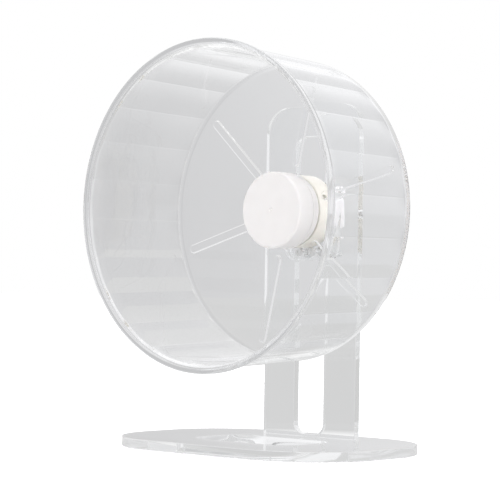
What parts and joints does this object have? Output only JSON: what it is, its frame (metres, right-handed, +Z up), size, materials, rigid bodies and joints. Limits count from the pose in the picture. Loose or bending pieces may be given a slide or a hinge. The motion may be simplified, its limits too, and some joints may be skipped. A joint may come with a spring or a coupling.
{
  "type": "hamster wheel",
  "caption": "Clear drum-shaped exercise wheel on a ball-bearing hub, held by a clear slotted upright on a rounded clear base, with adjustable axle height.",
  "frame": {"origin": "under the middle of the object, on the floor", "axes": "+Z up, the drum opens towards -Y, the axle lies along Y"},
  "size_m": [0.21, 0.137, 0.2598],
  "materials": {
    "clear_acrylic": "clear polished",
    "white_plastic": "satin white",
    "cream_plastic": "satin cream",
    "steel": "bright steel"
  },
  "bodies": {
    "stand": {"base_plate": "clear_acrylic", "upright_plate": "clear_acrylic"},
    "carriage": {"front_clamp_plate": "clear_acrylic", "rear_clamp_plate": "clear_acrylic", "axle_seat": "cream_plastic", "set_screw": "steel", "rear_block": "white_plastic", "clamp_screw_1": "steel", "clamp_washer_1": "steel", "clamp_nut_1": "steel", "clamp_screw_2": "steel", "clamp_washer_2": "steel", "clamp_nut_2": "steel", "axle": "steel", "axle_end_screw": "steel", "end_washer": "steel", "race_spacer": "steel", "spacer_sleeve": "steel", "axle_washer": "steel", "axle_nut": "steel", "front_inner_race": "steel", "rear_inner_race": "steel"},
    "wheel": {"wheel_drum": "clear_acrylic", "hub_housing": "white_plastic", "hub_back_ring": "white_plastic", "hub_cap": "white_plastic", "hub_screw_1": "steel", "hub_screw_2": "steel", "hub_screw_3": "steel", "hub_screw_4": "steel", "hub_screw_5": "steel", "hub_screw_6": "steel", "front_outer_race": "steel", "rear_outer_race": "steel", "front_shield_outside": "steel", "front_shield_inside": "steel", "rear_shield_outside": "steel", "rear_shield_inside": "steel"},
    "front_ball_set": {"front_ball_1": "steel", "front_ball_2": "steel", "front_ball_3": "steel", "front_ball_4": "steel", "front_ball_5": "steel", "front_ball_6": "steel", "front_ball_7": "steel"},
    "rear_ball_set": {"rear_ball_1": "steel", "rear_ball_2": "steel", "rear_ball_3": "steel", "rear_ball_4": "steel", "rear_ball_5": "steel", "rear_ball_6": "steel", "rear_ball_7": "steel"}
  },
  "joints": [
    {"name": "height_slide", "type": "slide", "parent": "stand", "child": "carriage", "axis": [0, 0, 1], "range_m": [-0.04, 0.03]},
    {"name": "wheel_spin", "type": "hinge", "parent": "carriage", "child": "wheel", "pos_m": [0, 0.0191, 0.1548], "axis": [0, 1, 0], "continuous": true},
    {"name": "front_ball_orbit", "type": "hinge", "parent": "carriage", "child": "front_ball_set", "pos_m": [0, 0.0086, 0.1548], "axis": [0, 1, 0], "continuous": true},
    {"name": "rear_ball_orbit", "type": "hinge", "parent": "carriage", "child": "rear_ball_set", "pos_m": [0, 0.0164, 0.1548], "axis": [0, 1, 0], "continuous": true}
  ],
  "couplings": [
    {"joint": "front_ball_orbit", "follows": "wheel_spin", "ratio": 0.632},
    {"joint": "rear_ball_orbit", "follows": "wheel_spin", "ratio": 0.632}
  ]
}
